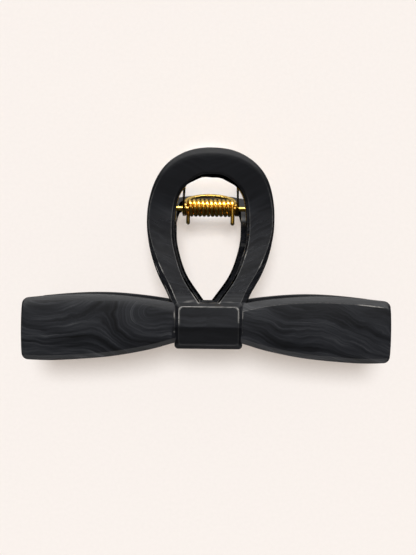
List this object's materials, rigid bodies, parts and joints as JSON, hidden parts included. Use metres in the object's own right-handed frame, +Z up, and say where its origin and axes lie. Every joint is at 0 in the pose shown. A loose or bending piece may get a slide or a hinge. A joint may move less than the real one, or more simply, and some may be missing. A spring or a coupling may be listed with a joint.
{
  "type": "bow claw clip",
  "caption": "Hair claw clip shaped as a bow: loop handles, a knot and wide tails in dark marbled plastic, teeth behind, and a sprung gold hinge.",
  "frame": {"origin": "middle of the underside of the clip as it lies on its back half", "axes": "+X along the hinge pin, +Y from the teeth towards the handles, +Z up through the front half"},
  "size_m": [0.1064, 0.0632, 0.048],
  "materials": {
    "marbled_plastic": "semi-gloss charcoal moulding with swirled grain",
    "gold_metal": "polished gold plating"
  },
  "bodies": {
    "back": {"back_half": "marbled_plastic", "back_hinge_plate": "gold_metal", "hinge_pin": "gold_metal", "spring": "gold_metal"},
    "front": {"front_half": "marbled_plastic", "front_hinge_plate": "gold_metal"}
  },
  "joints": [
    {"name": "jaw_hinge", "type": "hinge", "parent": "back", "child": "front", "pos_m": [0.00066, 0.01388, 0.024], "axis": [-1, 0, 0], "range_deg": [0, 45], "stiffness_Nm_per_rad": 0.1, "springref_deg": -28.65, "deforming": ["spring"]}
  ]
}
